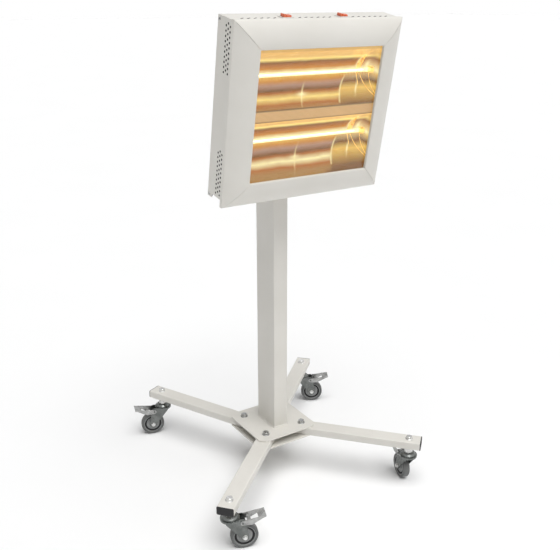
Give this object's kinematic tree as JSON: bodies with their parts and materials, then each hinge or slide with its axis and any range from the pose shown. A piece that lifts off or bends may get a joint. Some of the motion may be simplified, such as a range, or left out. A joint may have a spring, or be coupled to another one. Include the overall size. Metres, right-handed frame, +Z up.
{
  "type": "heat lamp warmer",
  "caption": "free-standing electric infrared heat lamp: a tilting box head with stacked glowing tubes behind glass, on a square column with a swinging-arm castered base",
  "frame": {"origin": "on the floor, on the axis of the column", "axes": "+X to the viewer's right, -Y is the front, +Z up"},
  "size_m": [0.7998, 0.807, 1.4398],
  "materials": {
    "head_paint": "smooth warm white powder coat",
    "stand_paint": "smooth light grey powder coat",
    "black_plastic": "moulded satin black",
    "tyre_rubber": "matt grey rubber",
    "wheel_plastic": "moulded grey",
    "pane": "clear heat-resistant glass",
    "lamp_quartz": "glowing quartz tube",
    "holder": "unglazed ceramic",
    "gold_reflector": "polished gold-tone sheet",
    "rocker": "translucent red-orange",
    "zinc": "bright zinc plated"
  },
  "bodies": {
    "stand": {"base_plate_top": "stand_paint", "base_plate_bottom": "stand_paint", "column": "stand_paint", "column_cap": "black_plastic", "tilt_fork": "stand_paint", "hub_bolts": "zinc", "tilt_bolt": "zinc"},
    "arm_front_left": {"arm_tube_front_left": "stand_paint", "arm_plug_front_left": "black_plastic", "caster_stem_front_left": "zinc"},
    "swivel_front_left": {"caster_fork_front_left": "zinc", "axle_front_left": "zinc"},
    "wheel_front_left": {"wheel_core_front_left": "wheel_plastic", "tyre_front_left": "tyre_rubber"},
    "pedal_front_left": {"pedal_front_left": "zinc"},
    "arm_front_right": {"arm_tube_front_right": "stand_paint", "arm_plug_front_right": "black_plastic", "caster_stem_front_right": "zinc"},
    "swivel_front_right": {"caster_fork_front_right": "zinc", "axle_front_right": "zinc"},
    "wheel_front_right": {"wheel_core_front_right": "wheel_plastic", "tyre_front_right": "tyre_rubber"},
    "pedal_front_right": {"pedal_front_right": "zinc"},
    "arm_back_left": {"arm_tube_back_left": "stand_paint", "arm_plug_back_left": "black_plastic", "caster_stem_back_left": "zinc"},
    "swivel_back_left": {"caster_fork_back_left": "zinc", "axle_back_left": "zinc"},
    "wheel_back_left": {"wheel_core_back_left": "wheel_plastic", "tyre_back_left": "tyre_rubber"},
    "pedal_back_left": {"pedal_back_left": "zinc"},
    "arm_back_right": {"arm_tube_back_right": "stand_paint", "arm_plug_back_right": "black_plastic", "caster_stem_back_right": "zinc"},
    "swivel_back_right": {"caster_fork_back_right": "zinc", "axle_back_right": "zinc"},
    "wheel_back_right": {"wheel_core_back_right": "wheel_plastic", "tyre_back_right": "tyre_rubber"},
    "pedal_back_right": {"pedal_back_right": "zinc"},
    "head": {"housing_shell": "head_paint", "housing_top": "head_paint", "side_panel_left": "head_paint", "side_panel_right": "head_paint", "bezel_top": "head_paint", "bezel_bottom": "head_paint", "bezel_left": "head_paint", "bezel_right": "head_paint", "glass": "pane", "reflector_upper": "gold_reflector", "reflector_lower": "gold_reflector", "centre_strip": "gold_reflector", "lamp_upper": "lamp_quartz", "lamp_lower": "lamp_quartz", "lamp_holders": "holder", "cable_gland": "black_plastic", "switch_bodies": "black_plastic", "head_bracket": "stand_paint", "housing_screws": "zinc"},
    "rocker_left": {"rocker_left": "rocker"},
    "rocker_right": {"rocker_right": "rocker"}
  },
  "joints": [
    {"name": "arm_pivot_front_left", "type": "hinge", "parent": "stand", "child": "arm_front_left", "pos_m": [-0.068, -0.068, 0.1475], "axis": [0, 0, 1], "range_deg": [-26.5, 33.5]},
    {"name": "swivel_front_left", "type": "hinge", "parent": "arm_front_left", "child": "swivel_front_left", "pos_m": [-0.33163, -0.30124, 0.105], "axis": [0, 0, 1], "continuous": true},
    {"name": "wheel_spin_front_left", "type": "hinge", "parent": "swivel_front_left", "child": "wheel_front_left", "pos_m": [-0.29405, -0.31492, 0.04], "axis": [0.342, 0.9397, 0], "continuous": true},
    {"name": "brake_front_left", "type": "hinge", "parent": "swivel_front_left", "child": "pedal_front_left", "pos_m": [-0.29968, -0.31287, 0.09], "axis": [0.342, 0.9397, 0], "range_deg": [0, 8]},
    {"name": "arm_pivot_front_right", "type": "hinge", "parent": "stand", "child": "arm_front_right", "pos_m": [0.068, -0.068, 0.1475], "axis": [0, 0, 1], "range_deg": [-27, 33]},
    {"name": "swivel_front_right", "type": "hinge", "parent": "arm_front_right", "child": "swivel_front_right", "pos_m": [0.30353, -0.32959, 0.105], "axis": [0, 0, 1], "continuous": true},
    {"name": "wheel_spin_front_right", "type": "hinge", "parent": "swivel_front_right", "child": "wheel_front_right", "pos_m": [0.31389, -0.29095, 0.04], "axis": [-0.9659, 0.2588, 0], "continuous": true},
    {"name": "brake_front_right", "type": "hinge", "parent": "swivel_front_right", "child": "pedal_front_right", "pos_m": [0.31233, -0.29675, 0.09], "axis": [-0.9659, 0.2588, 0], "range_deg": [0, 8]},
    {"name": "arm_pivot_back_left", "type": "hinge", "parent": "stand", "child": "arm_back_left", "pos_m": [-0.068, 0.068, 0.1475], "axis": [0, 0, 1], "range_deg": [-10.5, 49.5]},
    {"name": "swivel_back_left", "type": "hinge", "parent": "arm_back_left", "child": "swivel_back_left", "pos_m": [-0.21954, 0.38571, 0.105], "axis": [0, 0, 1], "continuous": true},
    {"name": "wheel_spin_back_left", "type": "hinge", "parent": "swivel_back_left", "child": "wheel_back_left", "pos_m": [-0.25818, 0.39606, 0.04], "axis": [-0.2588, -0.9659, 0], "continuous": true},
    {"name": "brake_back_left", "type": "hinge", "parent": "swivel_back_left", "child": "pedal_back_left", "pos_m": [-0.25238, 0.39451, 0.09], "axis": [-0.2588, -0.9659, 0], "range_deg": [0, 8]},
    {"name": "arm_pivot_back_right", "type": "hinge", "parent": "stand", "child": "arm_back_right", "pos_m": [0.068, 0.068, 0.1475], "axis": [0, 0, 1], "range_deg": [-28, 32]},
    {"name": "swivel_back_right", "type": "hinge", "parent": "arm_back_right", "child": "swivel_back_right", "pos_m": [0.32544, 0.30806, 0.105], "axis": [0, 0, 1], "continuous": true},
    {"name": "wheel_spin_back_right", "type": "hinge", "parent": "swivel_back_right", "child": "wheel_back_right", "pos_m": [0.36008, 0.28806, 0.04], "axis": [0.5, 0.866, 0], "continuous": true},
    {"name": "brake_back_right", "type": "hinge", "parent": "swivel_back_right", "child": "pedal_back_right", "pos_m": [0.35488, 0.29106, 0.09], "axis": [0.5, 0.866, 0], "range_deg": [0, 8]},
    {"name": "head_tilt", "type": "hinge", "parent": "stand", "child": "head", "pos_m": [0, -0.073, 1.061], "axis": [1, 0, 0], "range_deg": [-25, 17]},
    {"name": "switch_left", "type": "hinge", "parent": "head", "child": "rocker_left", "pos_m": [-0.095, -0.21807, 1.42669], "axis": [0, 0.9833, 0.1822], "range_deg": [-18, 0]},
    {"name": "switch_right", "type": "hinge", "parent": "head", "child": "rocker_right", "pos_m": [0.079, -0.21807, 1.42669], "axis": [0, 0.9833, 0.1822], "range_deg": [-18, 0]}
  ]
}
